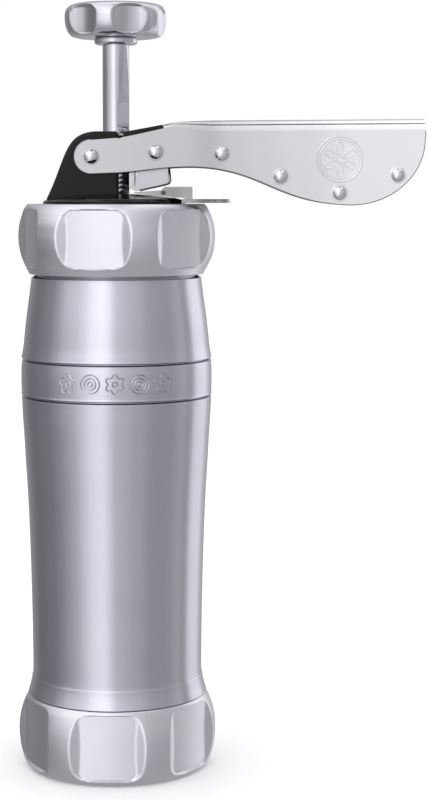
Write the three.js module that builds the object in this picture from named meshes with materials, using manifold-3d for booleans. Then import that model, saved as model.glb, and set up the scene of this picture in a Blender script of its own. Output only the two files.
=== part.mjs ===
// Lever-action cookie press with a ratchet plunger: a waisted aluminium barrel between two scalloped
// ring nuts, a black plastic head, a folded steel lever and a toothed rod with a lobed knob.
// Millimetres, +Z up. The barrel's axis is X = Y = 0 and the press stands on Z = 0.
// The lever points along +X and the press is seen from -Y.
import * as THREE from "three";
import { mergeVertices } from "three/addons/utils/BufferGeometryUtils.js";
import Module from "manifold-3d";

const wasm = await Module();
wasm.setup();

// ---------- driving dimensions ----------
const GAP = 0.3; // clearance between touching pieces
const ROUND = 40; // sides of the large round pieces
const ROUND_SMALL = 24; // sides of the small round pieces
const ROUND_PIN = 12; // sides of pins, screws and their holes
const BIG = 60; // longer than any local cut

const BORE_R = 24.5; // inside of the barrel
const NECK_R = 26.3; // thread root of both barrel ends
const RING_BORE_R = NECK_R + GAP;
const NECK_BOTTOM_Z = 2.55;
const NECK_TOP_Z = 171.3;

const LIP_THICKNESS = 0.8; // bottom ring nut's inward lip
const LIP_R = 25;
const DIE_Z = [1.05, 2.25];
const DIE_R = 26.2;
const DIE_PETALS = 6;

const BOTTOM_RING_TOP_Z = 22.6;
const TOP_RING_Z = [155.3, 176.8];
const TOP_RING_OPENING_R = 23.3;
const TOP_LIP_Z = 174.6;

const GRIPS = 6; // scallops round each ring nut and round the knob
const RING_GRIP = { floor: 28.35, flat: 9, edge: 14, edgeRise: 0.4 };
const KNOB_GRIP = { floor: 14.3, flat: 3.6, edge: 7.5, edgeRise: 0.8 };
const TOP_RING_TURN = -11.2; // degrees from the front to a scallop's middle
const BOTTOM_RING_TURN = -3.4;
const KNOB_TURN = 19.6;

const HEAD_FLANGE_Z = [171.6, 174.3];
const HEAD_BOSS_R = 22.9;
const CHEEK_Y = [5.6, 7.7]; // inner and outer face of each cheek
const WELL = { x: [3, 17.6], y: 6.1, floor: 176.3 }; // room under the pawl

const SELECTOR_RING_Z = [174.8, 176.0];
const TONGUE_Z = [177.1, 178.3];
const SELECTOR_SWING = 18; // degrees, towards the front
const SHEET = 1.2;

const ROD_R = 4.16;
const ROD_SHOULDER_Z = [37.9, 225.7];
const STUB_R = 2.9;
const RACK_TURN = 46; // degrees from the front to the middle of the rack
const RACK_Z = [49.6, 200.6];
const RACK_PITCH = 1.5;
const RACK_ROOT = 3.23;
const RACK_CREST = 4.1;
const FLAT_TOP_Z = 215;
const FLAT_RUN_OUT = 7; // height over which the flat fades into the round rod

const KNOB_Z = [228.5, 239.3];
const BUSH_R = { rod: ROD_R + 0.34, post: 6.5, hub: 11.4, flange: 16 };
const BUSH_SCREW_R = 13.8;
const BUSH_SCREW_TURNS = [60, 180, 270];

const PISTON_BOTTOM_Z = 25.6;
const PISTON_R = 24.1;

const LEVER_Y = [8.0, 9.2]; // inner and outer face of each lever plate
const LINER_Y = [6.5, 7.7];
const PAWL_Y = [4.6, 5.6];
const PIVOT = [-7.3, 191.4]; // X and Z of the lever's pivot
const PAWL_PIVOT = [12.6, 192.8];
const GRIP_RIVETS = [
  [33.0, 192.35],
  [51.2, 185.3],
  [69.4, 180.2],
  [87.4, 185.7],
];
const RIVET = { shank: 1.6, hole: 1.9, head: 2.25, dome: 1.25 };

// ---------- solids from three.js geometry ----------
function solid(geometry) {
  const bare = geometry.clone();
  bare.deleteAttribute("normal");
  bare.deleteAttribute("uv");
  const merged = mergeVertices(bare, 1e-4);
  return new wasm.Manifold(
    new wasm.Mesh({
      numProp: 3,
      vertProperties: merged.attributes.position.array,
      triVerts: new Uint32Array(merged.index.array),
    }),
  );
}

// A solid of revolution about Z. The profile is [radius, z] points, counter-clockwise seen with the
// radius to the right, and either starts and ends on the axis or is closed by its first point.
function turned(profile, sides = ROUND) {
  const onAxis = profile[0][0] === 0 && profile[profile.length - 1][0] === 0;
  const points = onAxis ? profile : [...profile, profile[0]];
  const lathe = new THREE.LatheGeometry(
    points.map(([r, z]) => new THREE.Vector2(r, z)),
    sides,
  );
  return solid(lathe.rotateX(Math.PI / 2));
}

function disc(radius, [z0, z1], sides = ROUND_SMALL) {
  return turned([[0, z0], [radius, z0], [radius, z1], [0, z1]], sides);
}

function outline(points) {
  return new THREE.Shape(points.map(([a, b]) => new THREE.Vector2(a, b)));
}

// An outline in X and Y, extruded from z0 to z1.
function plate(shape, [z0, z1], curveSegments = 6) {
  const options = { depth: z1 - z0, bevelEnabled: false, curveSegments };
  return solid(new THREE.ExtrudeGeometry(shape, options).translate(0, 0, z0));
}

// An outline in X and Z, extruded from y0 to y1.
function wall(shape, [y0, y1], curveSegments = 6) {
  const options = { depth: y1 - y0, bevelEnabled: false, curveSegments };
  const geometry = new THREE.ExtrudeGeometry(shape, options);
  return solid(geometry.rotateX(Math.PI / 2).translate(0, y1, 0));
}

function box([x0, x1], [y0, y1], [z0, z1]) {
  const geometry = new THREE.BoxGeometry(x1 - x0, y1 - y0, z1 - z0);
  return solid(geometry.translate((x0 + x1) / 2, (y0 + y1) / 2, (z0 + z1) / 2));
}

// A round bar along Y.
function crossBar([x, z], radius, [y0, y1]) {
  const bar = new THREE.CylinderGeometry(radius, radius, y1 - y0, ROUND_PIN);
  return solid(bar.translate(x, (y0 + y1) / 2, z));
}

function wire(points, radius, steps) {
  const section = new THREE.Shape();
  section.absarc(0, 0, radius, 0, 2 * Math.PI, false);
  const path = new THREE.CatmullRomCurve3(points, false, "centripetal");
  const options = { steps, curveSegments: 3, bevelEnabled: false, extrudePath: path };
  return solid(new THREE.ExtrudeGeometry(section, options));
}

// Turns a solid about Z, in degrees counter-clockwise seen from above.
const spun = (piece, degrees) => piece.rotate([0, 0, degrees]);

// Scallops cut down the whole height of a ring or knob, the first one turned from the front.
function scalloped(piece, grip, turn) {
  const { floor, flat, edge, edgeRise } = grip;
  const shape = outline([
    [-edge, -BIG],
    [edge, -BIG],
    [edge, -floor - edgeRise],
    [flat, -floor],
    [-flat, -floor],
    [-edge, -floor - edgeRise],
  ]);
  const cutter = plate(shape, [-BIG, 5 * BIG]);
  let cut = piece;
  for (let i = 0; i < GRIPS; i++) cut = cut.subtract(spun(cutter, turn + (360 / GRIPS) * i));
  return cut;
}

// ---------- barrel, ring nuts and die ----------
function barrel() {
  const groove = (z) => [[29.75, z + 0.6], [29.45, z], [29.75, z - 0.6]];
  const outer = [
    [BORE_R, NECK_BOTTOM_Z],
    [NECK_R, NECK_BOTTOM_Z],
    [NECK_R, 22.9],
    [28.5, 22.9],
    [27.6, 24.8],
    [27.0, 28.2],
    [26.75, 30.5],
    [26.8, 42.7],
    [27.0, 58],
    [27.6, 76],
    [28.4, 91.1],
    [29.3, 106.4],
    ...groove(116).reverse(),
    [29.87, 120],
    ...groove(127.5).reverse(),
    [29.3, 131.6],
    [28.8, 136.6],
    [28.3, 141.7],
    [27.6, 146.7],
    [27.2, 149.6],
    [26.8, 150.6],
    [26.8, 154.6],
    [NECK_R, 154.6],
    [NECK_R, NECK_TOP_Z],
    [BORE_R, NECK_TOP_Z],
  ];
  return turned(outer);
}

function bottomRingNut() {
  const ring = turned([
    [LIP_R, 0],
    [27.4, 0],
    [29.3, 1.7],
    [30.4, 5],
    [31.0, 9.5],
    [31.0, 14],
    [30.4, 17.8],
    [29.5, 20.4],
    [28.6, BOTTOM_RING_TOP_Z],
    [RING_BORE_R, BOTTOM_RING_TOP_Z],
    [RING_BORE_R, LIP_THICKNESS],
    [LIP_R, LIP_THICKNESS],
  ]);
  return scalloped(ring, RING_GRIP, BOTTOM_RING_TURN);
}

function topRingNut() {
  const [z0, z1] = TOP_RING_Z;
  const ring = turned([
    [RING_BORE_R, z0],
    [27.5, z0],
    [29.1, 158],
    [30.3, 160.6],
    [31.05, 164],
    [31.05, 169],
    [30.2, 171.8],
    [29.0, 174.8],
    [27.7, z1],
    [TOP_RING_OPENING_R, z1],
    [TOP_RING_OPENING_R, TOP_LIP_Z],
    [RING_BORE_R, TOP_LIP_Z],
  ]);
  return scalloped(ring, RING_GRIP, TOP_RING_TURN);
}

// A disc with petal openings round a solid centre, through which the dough is pressed.
function formingDie() {
  const petal = new THREE.Shape();
  petal.absarc(0, 7.5, 1.6, Math.PI, 2 * Math.PI, false);
  petal.absarc(0, 16, 3.2, 0, Math.PI, false);
  const cutter = plate(petal, [0, DIE_Z[1] + 1], 5);
  let die = disc(DIE_R, DIE_Z, ROUND);
  for (let i = 0; i < DIE_PETALS; i++) die = die.subtract(spun(cutter, (360 / DIE_PETALS) * i));
  return die;
}

// ---------- head ----------
// Side outline of the cheeks that hold the lever's pivot.
function cheekShape() {
  const shape = new THREE.Shape();
  shape.moveTo(1.1, 177.5);
  shape.lineTo(1.1, 199.3);
  shape.lineTo(-6, 199.3);
  shape.bezierCurveTo(-12.5, 199, -14.3, 195.5, -16.35, 190.4);
  shape.lineTo(-20.1, 180.5);
  shape.lineTo(-20.7, 177.5);
  return shape;
}

// The open space between the cheeks, behind which a wall is left.
function cheekHollowShape() {
  const shape = new THREE.Shape();
  shape.moveTo(BIG, 181.3);
  shape.lineTo(BIG, 202);
  shape.lineTo(-6.5, 202);
  shape.lineTo(-6.5, 197.2);
  shape.bezierCurveTo(-11, 196.6, -12.6, 194, -14.1, 190.2);
  shape.lineTo(-17.4, 181.3);
  return shape;
}

// A sector of a ring in plan, from one angle to another in degrees from +X.
function sector(rInner, rOuter, from, to) {
  const [a, b] = [THREE.MathUtils.degToRad(from), THREE.MathUtils.degToRad(to)];
  const shape = new THREE.Shape();
  shape.absarc(0, 0, rOuter, a, b, false);
  shape.absarc(0, 0, rInner, b, a, true);
  return shape;
}

function headHousing() {
  const recess = BUSH_R.hub + 0.4;
  const body = turned([
    [BUSH_R.rod + 0.1, WELL.floor],
    [recess, WELL.floor],
    [recess, HEAD_FLANGE_Z[0]],
    [DIE_R, HEAD_FLANGE_Z[0]],
    [DIE_R, HEAD_FLANGE_Z[1]],
    [HEAD_BOSS_R, HEAD_FLANGE_Z[1]],
    [HEAD_BOSS_R, 177.5],
    [22.4, 178],
    [18.7, 178.7],
    [11.7, 179.6],
    [BUSH_R.rod + 0.1, 180.1],
  ]);
  const outer = CHEEK_Y[1];
  const rodHole = disc(BUSH_R.rod + 0.1, [170, 210]);
  const window = sector(BUSH_R.hub, HEAD_BOSS_R + 1, -SELECTOR_SWING - 23, 23);
  let head = body
    .add(wall(cheekShape(), [-outer, outer]).subtract(rodHole))
    .subtract(wall(cheekHollowShape(), [-CHEEK_Y[0], CHEEK_Y[0]]))
    .subtract(box(WELL.x, [-WELL.y, WELL.y], [WELL.floor - 1, 190]))
    .subtract(plate(window, [HEAD_FLANGE_Z[1] + 0.2, 178.6]))
    .subtract(crossBar(PIVOT, RIVET.hole, [-BIG, BIG]));
  for (const turn of BUSH_SCREW_TURNS) {
    const hole = disc(1.7, [170, 175.3], ROUND_PIN).translate([BUSH_SCREW_R, 0, 0]);
    head = head.subtract(spun(hole, turn));
  }
  return head;
}

// Guides the rod, carries the selector's ring on its post and closes the head's recess.
function rodGuideBush() {
  const bush = turned(
    [
      [BUSH_R.rod, 169.6],
      [BUSH_R.flange, 169.6],
      [BUSH_R.flange, HEAD_FLANGE_Z[0] - GAP],
      [BUSH_R.hub, HEAD_FLANGE_Z[0] - GAP],
      [BUSH_R.hub, SELECTOR_RING_Z[0] - GAP],
      [BUSH_R.post, SELECTOR_RING_Z[0] - GAP],
      [BUSH_R.post, SELECTOR_RING_Z[1]],
      [BUSH_R.rod, SELECTOR_RING_Z[1]],
    ],
    ROUND_SMALL,
  );
  return BUSH_SCREW_TURNS.reduce((cut, turn) => {
    const hole = disc(1.7, [160, 180], ROUND_PIN).translate([BUSH_SCREW_R, 0, 0]);
    return cut.subtract(spun(hole, turn));
  }, bush);
}

function bushScrew(turn) {
  const screw = turned([[0, 168], [2.2, 168], [2.6, 168.6], [2.6, 169.3], [1.4, 169.3], [1.4, 175], [0, 175]], ROUND_PIN);
  return spun(screw.translate([BUSH_SCREW_R, 0, 0]), turn);
}

// One bent sheet: a ring round the bush, a neck out of the head, a step up to the thumb tongue,
// and an upright wedge on the tongue's front edge.
function selectorPlate() {
  const [low, high] = SELECTOR_RING_Z;
  const ring = turned([[6.9, low], [11, low], [11, high], [6.9, high]], ROUND_SMALL);
  const neckHalf = 4;
  const stepX = 20.5;
  const neck = box([8, stepX + SHEET], [-neckHalf, neckHalf], [low, high]);
  const step = box([stepX, stepX + SHEET], [-neckHalf, neckHalf], [low, TONGUE_Z[1]]);
  const half = 10.6;
  const tongueShape = new THREE.Shape();
  tongueShape.moveTo(15, -half);
  tongueShape.lineTo(25, -half);
  tongueShape.bezierCurveTo(29, -half, 30, -5.5, 31.5, -5);
  tongueShape.bezierCurveTo(37, -4.5, 37, 4.5, 31.5, 5);
  tongueShape.bezierCurveTo(30, 5.5, 29, half, 25, half);
  tongueShape.lineTo(15, half);
  const tongue = plate(tongueShape, TONGUE_Z, 8)
    .subtract(disc(HEAD_BOSS_R + 0.4, [170, 180], ROUND))
    .add(box([stepX, 25], [-neckHalf, neckHalf], TONGUE_Z));
  const wedgeShape = new THREE.Shape();
  wedgeShape.moveTo(24, TONGUE_Z[0]);
  wedgeShape.lineTo(24, 182.1);
  wedgeShape.lineTo(15.1, 182.1);
  wedgeShape.lineTo(6, 180.5);
  wedgeShape.lineTo(6, 180.1);
  wedgeShape.lineTo(15.8, 179.15);
  wedgeShape.lineTo(21.6, 178.6);
  wedgeShape.lineTo(21.6, TONGUE_Z[0]);
  const wedge = wall(wedgeShape, [-half, -half + SHEET]).subtract(crossBar([15.2, 180.3], 0.7, [-BIG, BIG]));
  return ring.add(neck).add(step).add(tongue).add(wedge);
}

// ---------- lever ----------
function leverPlateShape() {
  const shape = new THREE.Shape();
  shape.moveTo(PIVOT[0], 186.25);
  shape.lineTo(1.8, 186.6);
  shape.bezierCurveTo(10, 187.2, 14, 188.4, 24, 188.4);
  shape.bezierCurveTo(46, 187.9, 50, 177, 73.1, 176.6);
  shape.bezierCurveTo(84, 176.8, 96, 184, 95.8, 196.5);
  shape.lineTo(95.8, 203);
  shape.lineTo(31, 202.5);
  shape.bezierCurveTo(24, 202.3, 20, 202.2, 15.2, 201.5);
  shape.lineTo(15.2, 200.1);
  shape.lineTo(1.5, 197.2);
  shape.lineTo(PIVOT[0], 196.55);
  shape.absarc(PIVOT[0], PIVOT[1], 5.15, Math.PI / 2, (3 * Math.PI) / 2, false);
  return shape;
}

// What is taken out between the lever's two plates, under its top fold.
function leverChannelShape() {
  const shape = new THREE.Shape();
  shape.moveTo(-BIG, 100);
  shape.lineTo(BIG * 2, 100);
  shape.lineTo(BIG * 2, 203 - SHEET);
  shape.lineTo(95, 203 - SHEET);
  shape.lineTo(31, 202.5 - SHEET);
  shape.bezierCurveTo(24, 202.3 - SHEET, 20, 202.2 - SHEET, 15.1, 201.5 - SHEET);
  shape.lineTo(15.1, 210);
  shape.lineTo(-BIG, 210);
  return shape;
}

const drilled = (piece, places) =>
  places.reduce((cut, place) => cut.subtract(crossBar(place, RIVET.hole, [-BIG, BIG])), piece);

function leverShell() {
  const [inner, outer] = LEVER_Y;
  const folded = wall(leverPlateShape(), [-outer, outer], 8).subtract(
    wall(leverChannelShape(), [-inner, inner]),
  );
  return drilled(folded, [PIVOT, PAWL_PIVOT, ...GRIP_RIVETS]);
}

// Plastic channel inside the grip. Its open end shows above the lever's plates.
function leverLiner() {
  const [inner, outer] = LINER_Y;
  const roof = 1.5;
  const roofStart = 7; // the roof stops short of the rod
  const shape = new THREE.Shape();
  shape.moveTo(5, 189.2);
  shape.bezierCurveTo(12, 190, 15, 190.4, 24, 190.4);
  shape.bezierCurveTo(46.5, 189.9, 51, 179.2, 73.1, 178.6);
  shape.bezierCurveTo(84, 178.9, 92.5, 186, 92.5, 196.5);
  shape.lineTo(92.5, 201.2);
  shape.lineTo(31, 200.9);
  shape.bezierCurveTo(24, 200.8, 20, 200.6, 14.9, 199.9);
  shape.lineTo(14.8, 201.3);
  shape.lineTo(2.4, 199);
  const hollow = outline([
    [-BIG, 100],
    [90.5, 100],
    [90.5, 201.2 - roof],
    [31, 200.9 - roof],
    [14.8, 199.9 - roof],
    [roofStart, 198.4 - roof],
    [roofStart, 210],
    [-BIG, 210],
  ]);
  const channel = wall(shape, [-outer, outer], 8).subtract(wall(hollow, [-inner, inner]));
  return drilled(channel, [PAWL_PIVOT, ...GRIP_RIVETS]);
}

// A pin across the lever with a domed head on each side.
function rivet([x, z]) {
  const { shank, head, dome } = RIVET;
  const face = LEVER_Y[1] + GAP;
  const profile = [
    [0, -face - dome],
    [head * 0.62, -face - dome * 0.8],
    [head * 0.92, -face - dome * 0.42],
    [head, -face],
    [shank, -face],
    [shank, face],
    [head, face],
    [head * 0.92, face + dome * 0.42],
    [head * 0.62, face + dome * 0.8],
    [0, face + dome],
  ];
  return turned(profile, ROUND_PIN).rotate([90, 0, 0]).translate([x, 0, z]);
}

// Coils of wire round a pin, with a leg drawn from each end.
function torsionSpring([x, z], { radius, wireRadius, halfLength, turns, start, legA, legB }) {
  const stepsPerTurn = 10;
  const count = turns * stepsPerTurn;
  const points = legA.map(([px, py, pz]) => new THREE.Vector3(px, py, pz));
  for (let i = 0; i <= count; i++) {
    const angle = start + (2 * Math.PI * i) / stepsPerTurn;
    const y = -halfLength + (2 * halfLength * i) / count;
    points.push(new THREE.Vector3(x + radius * Math.cos(angle), y, z + radius * Math.sin(angle)));
  }
  legB.forEach(([px, py, pz]) => points.push(new THREE.Vector3(px, py, pz)));
  return wire(points, wireRadius, points.length);
}

function leverReturnSpring() {
  return torsionSpring(PIVOT, {
    radius: 2.4,
    wireRadius: 0.3,
    halfLength: 2.4,
    turns: 5,
    start: Math.PI / 2,
    legA: [[-12.2, -2.4, 192.9], [-10, -2.4, 193.6]],
    legB: [[-9, 2.5, 193.9], [-12.2, 2.5, 193.4]],
  });
}

function pawlSpring() {
  return torsionSpring(PAWL_PIVOT, {
    radius: 2.4,
    wireRadius: 0.3,
    halfLength: 2.2,
    turns: 4,
    start: Math.PI,
    legA: [[10.4, -2.4, 196.2], [9.9, -2.3, 194.4]],
    legB: [[10.2, 2.4, 190.4], [12.4, 3.2, 188.6], [16.6, 3.9, 187], [17.1, 3.9, 184.2], [15.6, 3.9, 183.9]],
  });
}

// Folded sheet pawl: two plates on the pawl pin and a nose that pushes the rack.
function pawl() {
  const [inner, outer] = PAWL_Y;
  const eye = 3.3;
  const [x, z] = PAWL_PIVOT;
  const side = new THREE.Shape();
  side.moveTo(5.9, 180.9);
  side.lineTo(16.3, 183.1);
  side.lineTo(16.4, 188.4);
  side.lineTo(x + eye, z);
  side.absarc(x, z, eye, 0, Math.PI, false);
  side.lineTo(6.8, 188.2);
  const nose = outline([[4.5, 181.5], [6.2, 180.9], [15.5, 182.95], [15.3, 183.9], [6.3, 182.3], [4.5, 182.3]]);
  const plates = wall(side, [-outer, outer]).subtract(
    box([-BIG, BIG], [-inner, inner], [100, 210]),
  );
  return drilled(plates.add(wall(nose, [-outer + 0.1, outer - 0.1])), [PAWL_PIVOT]);
}

// ---------- plunger ----------
// Everything outside the rack's teeth, as one comb-shaped cutter beside the rod.
function rackCutter() {
  const [bottom, top] = RACK_Z;
  const teeth = Math.round((top - bottom) / RACK_PITCH);
  const comb = [[ROD_R + 2, bottom], [RACK_ROOT, bottom]];
  for (let i = 1; i < teeth; i++) {
    const z = bottom + i * RACK_PITCH;
    comb.push([RACK_CREST, z], [RACK_ROOT, z]);
  }
  comb.push([RACK_CREST, top], [RACK_ROOT, top], [RACK_ROOT, FLAT_TOP_Z - FLAT_RUN_OUT]);
  comb.push([ROD_R, FLAT_TOP_Z], [ROD_R + 2, FLAT_TOP_Z]);
  return spun(wall(outline(comb), [-ROD_R - 1, ROD_R + 1]), RACK_TURN - 90);
}

function plungerRod() {
  const [bottom, top] = ROD_SHOULDER_Z;
  const threadR = 1.8;
  const stubBottom = 28.7;
  const rod = turned(
    [
      [0, 36.5],
      [threadR, 36.5],
      [threadR, stubBottom],
      [STUB_R, stubBottom],
      [STUB_R, bottom],
      [ROD_R, bottom],
      [ROD_R, top],
      [STUB_R, top],
      [STUB_R, 236],
      [0, 236],
    ],
    ROUND_SMALL,
  );
  return rod.subtract(rackCutter());
}

// Cup with a hub, which turns freely on the rod's lower stub.
function pistonDisc() {
  const z = PISTON_BOTTOM_Z;
  return turned([
    [5.5, z],
    [PISTON_R - 0.6, z],
    [PISTON_R, z + 0.6],
    [PISTON_R, z + 10],
    [PISTON_R - 1.6, z + 10],
    [PISTON_R - 1.6, z + 3],
    [8, z + 3],
    [8, z + 12],
    [STUB_R + GAP, z + 12],
    [STUB_R + GAP, z + 2.8],
    [5.5, z + 2.8],
  ]);
}

function pistonScrew() {
  const z = PISTON_BOTTOM_Z;
  return turned([[0, z + 0.3], [4.4, z + 0.3], [5, z + 0.9], [5, z + 2.5], [1.5, z + 2.5], [1.5, 36], [0, 36]], ROUND_PIN);
}

function knobBush() {
  return turned(
    [[STUB_R + GAP, 226], [6.5, 226], [6.9, 226.5], [6.9, 227.8], [6.6, 228.2], [STUB_R + GAP, 228.2]],
    ROUND_SMALL,
  );
}

function knob() {
  const [z0, z1] = KNOB_Z;
  const body = turned([
    [0, 236.3],
    [STUB_R + GAP, 236.3],
    [STUB_R + GAP, z0],
    [13.6, z0],
    [15.3, 230.3],
    [16.05, 233],
    [15.6, 236.5],
    [14.6, 238.2],
    [12.8, z1 - 0.4],
    [6, z1],
    [0, z1],
  ]);
  return scalloped(body, KNOB_GRIP, KNOB_TURN);
}

// ---------- assembly ----------
const ALUMINIUM = { color: 0xb9b8c2, roughness: 0.32, metalness: 1 };
const STEEL = { color: 0xd6d6d8, roughness: 0.28, metalness: 1 };
const CHROME = { color: 0xe2e2e6, roughness: 0.12, metalness: 1 };
const SPRING_STEEL = { color: 0x6b6b70, roughness: 0.35, metalness: 1 };
const BRUSHED = { color: 0xb7afa9, roughness: 0.4, metalness: 1 };
const BLACK = { color: 0x161618, roughness: 0.22, metalness: 0 };
const WHITE = { color: 0xe6e4de, roughness: 0.45, metalness: 0 };

const group = new THREE.Group();

function addPiece(name, piece, finish) {
  const { vertProperties, triVerts } = piece.getMesh();
  const geometry = new THREE.BufferGeometry()
    .setAttribute("position", new THREE.BufferAttribute(vertProperties, 3))
    .setIndex(new THREE.BufferAttribute(triVerts, 1));
  geometry.computeVertexNormals();
  const mesh = new THREE.Mesh(geometry, new THREE.MeshStandardMaterial(finish));
  mesh.name = name;
  group.add(mesh);
}

addPiece("barrel", barrel(), ALUMINIUM);
addPiece("bottom_ring_nut", bottomRingNut(), ALUMINIUM);
addPiece("forming_die", formingDie(), ALUMINIUM);
addPiece("top_ring_nut", topRingNut(), ALUMINIUM);

addPiece("head_housing", headHousing(), BLACK);
addPiece("rod_guide_bush", rodGuideBush(), WHITE);
BUSH_SCREW_TURNS.forEach((turn, i) => addPiece(`bush_screw_${i + 1}`, bushScrew(turn), STEEL));
addPiece("selector_plate", selectorPlate(), BRUSHED);
addPiece("lever_return_spring", leverReturnSpring(), SPRING_STEEL);

addPiece("lever_shell", leverShell(), STEEL);
addPiece("lever_liner", leverLiner(), BLACK);
addPiece("lever_pivot_pin", rivet(PIVOT), CHROME);
addPiece("pawl_pin", rivet(PAWL_PIVOT), CHROME);
GRIP_RIVETS.forEach((place, i) => addPiece(`grip_rivet_${i + 1}`, rivet(place), CHROME));
addPiece("pawl", pawl(), STEEL);
addPiece("pawl_spring", pawlSpring(), SPRING_STEEL);

addPiece("piston_disc", pistonDisc(), ALUMINIUM);
addPiece("piston_screw", pistonScrew(), STEEL);
addPiece("plunger_rod", plungerRod(), CHROME);
addPiece("knob_bush", knobBush(), CHROME);
addPiece("knob", knob(), ALUMINIUM);

export default group;
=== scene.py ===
"""Looks of the cookie press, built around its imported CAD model.

Lengths are written in millimetres and turned into metres by MM, in the CAD's own frame: the barrel's
axis is X = Y = 0, the press stands on Z = 0, the lever points along +X and the front faces -Y.
"""

import math

import bmesh
import bpy
import numpy as np
from mathutils import Matrix, Vector

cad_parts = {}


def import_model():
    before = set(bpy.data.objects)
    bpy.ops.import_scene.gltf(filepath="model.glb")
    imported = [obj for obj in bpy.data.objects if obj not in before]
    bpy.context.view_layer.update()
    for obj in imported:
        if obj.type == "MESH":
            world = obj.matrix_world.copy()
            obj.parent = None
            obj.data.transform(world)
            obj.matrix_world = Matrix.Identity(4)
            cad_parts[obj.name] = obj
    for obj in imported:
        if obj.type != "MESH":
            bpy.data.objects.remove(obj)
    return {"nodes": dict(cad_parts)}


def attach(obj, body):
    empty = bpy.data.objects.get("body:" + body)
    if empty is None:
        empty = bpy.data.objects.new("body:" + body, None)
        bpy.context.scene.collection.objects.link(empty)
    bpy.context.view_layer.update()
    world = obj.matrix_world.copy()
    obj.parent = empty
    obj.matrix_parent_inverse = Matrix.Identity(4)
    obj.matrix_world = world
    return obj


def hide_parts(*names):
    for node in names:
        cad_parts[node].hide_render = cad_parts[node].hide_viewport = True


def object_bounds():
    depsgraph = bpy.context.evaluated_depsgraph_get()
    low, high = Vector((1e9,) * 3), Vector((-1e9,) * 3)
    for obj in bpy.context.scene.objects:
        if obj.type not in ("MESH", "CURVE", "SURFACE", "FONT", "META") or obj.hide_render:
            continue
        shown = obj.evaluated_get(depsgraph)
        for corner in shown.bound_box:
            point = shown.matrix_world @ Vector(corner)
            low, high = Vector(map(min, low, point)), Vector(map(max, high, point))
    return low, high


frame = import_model()
cad_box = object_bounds()

MM = 0.001
TAU = 2 * math.pi

# ---------- driving dimensions, in mm ----------
BORE_R = 24.5
NECK_R = 26.3
RING_BORE_R = 26.6
GROOVES_Z = (117.0, 128.4)  # the two turned grooves round the barrel's band
BAND_R = 29.88  # the band's radius, along which distances round it are measured
ENGRAVING_R = 29.79  # where the round lines of the engraving run, just under the band's surface
ENGRAVING_PITCH = 7.6
ENGRAVING_WIRE = 0.27
SEAM_Z = 22.85  # top of the bottom ring nut
TOP_RING_Z = (155.3, 176.8)
THREAD_PITCH = 4.0
THREAD_ROOT = 0.25  # how far the barrel's thread roots lie below the radius of its necks

GRIPS = 6  # scallops round each ring nut and round the knob
PETALS = 6  # petals of the die's pattern and of the lever's rosette
TOP_RING_TURN = -11.2  # degrees from the front to a scallop's middle
BOTTOM_RING_TURN = -3.4
KNOB_TURN = 19.6

DIE_Z = (1.05, 2.25)
DIE_R = 26.2

HEAD_BOSS_R = 22.9
CHEEK_Y = (5.6, 7.7)
WELL_Y = 6.1
SELECTOR_SWING = 18
SELECTOR_HALF = 10.6  # half the width of the selector's tongue
SELECTOR_Z = (177.1, 178.3)

ROD_R = 4.16
ROD_HOLE_R = ROD_R + 0.44
STUB_R = 2.9
RACK_TURN = 46
RACK_Z = (49.6, 200.6)
RACK_PITCH = 1.5
RACK_ROOT = 3.23
RACK_CREST = 4.1
FLAT_TOP_Z = 215
FLAT_RUN_OUT = 7.0  # height over which the flat fades into the round rod

KNOB_Z = (228.5, 239.3)

LEVER_Y = 9.2
SHEET = 1.2
PIN_HOLE_R = 1.9
RIVET_R = 2.28
RIVET_HEIGHT = 1.75
PIVOT = (-7.3, 191.4)
PAWL_PIVOT = (12.6, 192.8)
GRIP_RIVETS = ((33.0, 192.35), (51.2, 185.3), (69.4, 180.2), (87.4, 185.7))
ROSETTE = (69.4, 190.6)

RING_FLOOR_R = 27.9  # radius of a scallop's floor in the middle
RING_GRIP_HALF = 9.2  # half a scallop's width
KNOB_FLOOR_R = 13.35
KNOB_GRIP_HALF = 4.4
# Shape of a scallop: the floor's rise at its edges (less than zero for a crowned floor), the slope of the
# side walls and of the end walls, the corner radius of the pocket and the softness of its rim.
RING_SCALLOP = (-0.45, 0.40, 2.4, 2.2, 0.22)
KNOB_SCALLOP = (1.0, 0.42, 1.5, 1.6, 0.4)

LEVER_SPAN = (-0.012, 0.096)  # the lever's ends along X, in metres
# Painted shade and light in the lever's base colour along that span, from the pivot's end (0) to the tip (1):
# darker by the pivot with a dip at 0.38, brighter towards the tip.
LEVER_PAINTED_SHADE_TONES = (
    (0, 0.55), (0.2, 0.55), (0.3, 0.57), (0.38, 0.52), (0.45, 0.64),
    (0.52, 0.69), (0.64, 0.77), (0.82, 0.92), (1, 0.97),
)


# ---------- materials ----------
def new_material(name, color, roughness, metallic):
    material = bpy.data.materials.new(name)
    material.use_nodes = True
    shader = material.node_tree.nodes["Principled BSDF"]
    shader.inputs["Base Color"].default_value = (*color, 1)
    shader.inputs["Roughness"].default_value = roughness
    shader.inputs["Metallic"].default_value = metallic
    return material, shader


def node(material, kind, **values):
    """Adds a shader node and sets its properties, or its inputs where it has no such property."""
    made = material.node_tree.nodes.new(kind)
    for key, value in values.items():
        if hasattr(made, key):
            setattr(made, key, value)
        else:
            made.inputs[key.replace("_", " ")].default_value = value
    return made


def link(material, a, b):
    material.node_tree.links.new(a, b)


def noise(material, scale, stretch=(1, 1, 1), detail=3.0, roughness=0.55):
    """Noise in object space, in cycles per metre, with its own stretch along X, Y and Z."""
    place = node(material, "ShaderNodeTexCoord")
    mapping = node(material, "ShaderNodeMapping")
    mapping.inputs["Scale"].default_value = stretch
    texture = node(material, "ShaderNodeTexNoise", Scale=scale, Detail=detail, Roughness=roughness)
    link(material, place.outputs["Object"], mapping.inputs["Vector"])
    link(material, mapping.outputs["Vector"], texture.inputs["Vector"])
    return texture.outputs["Fac"]


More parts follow.
